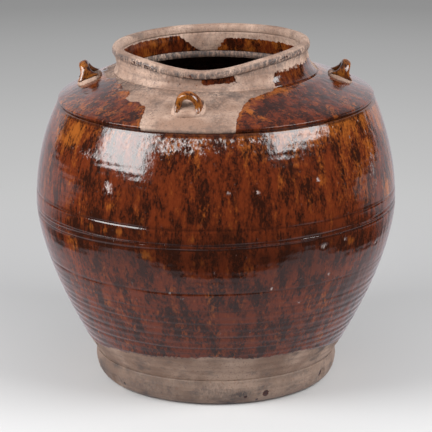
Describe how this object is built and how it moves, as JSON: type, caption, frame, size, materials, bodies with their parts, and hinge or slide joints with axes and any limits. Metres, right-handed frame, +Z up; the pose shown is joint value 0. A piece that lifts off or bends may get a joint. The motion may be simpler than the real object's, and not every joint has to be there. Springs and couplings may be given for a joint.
{
  "type": "martaban storage jar",
  "caption": "Round-bellied brown-glazed stoneware storage jar with small lugs on its shoulder, a short neck and a rolled, sagging rim.",
  "frame": {"origin": "middle of the standing ring, in the plane it rests on", "axes": "+Z up along the jar's turning axis, -Y towards the front, where the sag of the rim is"},
  "size_m": [0.3563, 0.3564, 0.3414],
  "materials": {
    "brown_glaze": "glossy streaked iron-brown glaze over stoneware",
    "amber_glaze": "glossy amber-brown glaze, pooled and translucent",
    "bare_stoneware": "unglazed buff and grey-brown stoneware, matt"
  },
  "bodies": {
    "root": {"base_slab": "bare_stoneware", "foot_band": "bare_stoneware", "lower_wall": "brown_glaze", "upper_wall": "brown_glaze", "shoulder": "brown_glaze", "neck_collar": "bare_stoneware", "rim_roll": "bare_stoneware", "lug_pad_front": "bare_stoneware", "lug_pad_right": "bare_stoneware", "lug_pad_back": "bare_stoneware", "lug_pad_left": "bare_stoneware", "lug_loop_front": "amber_glaze", "lug_loop_right": "amber_glaze", "lug_loop_back": "amber_glaze", "lug_loop_left": "amber_glaze"}
  },
  "joints": []
}
